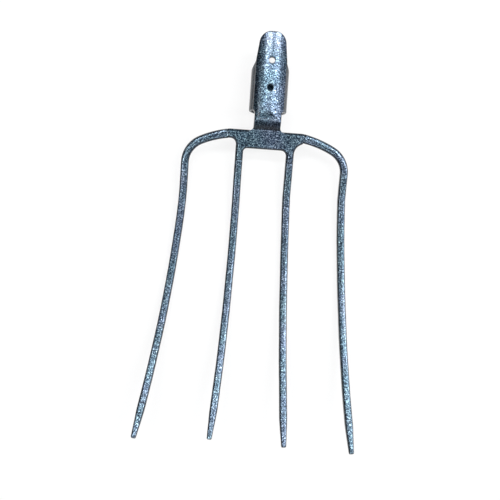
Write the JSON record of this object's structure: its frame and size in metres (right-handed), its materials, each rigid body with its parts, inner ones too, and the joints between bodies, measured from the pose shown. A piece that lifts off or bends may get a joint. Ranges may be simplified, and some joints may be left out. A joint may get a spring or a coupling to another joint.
{
  "type": "fork head",
  "caption": "Forged head of a farm fork: long bowed tines on an arched crosshead, with a swan neck and an open strapped socket for a wooden handle.",
  "frame": {"origin": "centre of the socket's mouth, on the handle's axis", "axes": "+Y along the handle's axis, out of the socket; +Z out of the fork's front face, which lies up; +X towards the right tine when the front is seen with the socket above"},
  "size_m": [0.2377, 0.4465, 0.0523],
  "materials": {
    "hammered_enamel": "glossy blue-grey hammered enamel over forged steel"
  },
  "bodies": {
    "root": {"crosshead": "hammered_enamel", "neck": "hammered_enamel", "socket": "hammered_enamel", "outer_tine_left": "hammered_enamel", "inner_tine_left": "hammered_enamel", "inner_tine_right": "hammered_enamel", "outer_tine_right": "hammered_enamel"}
  },
  "joints": []
}
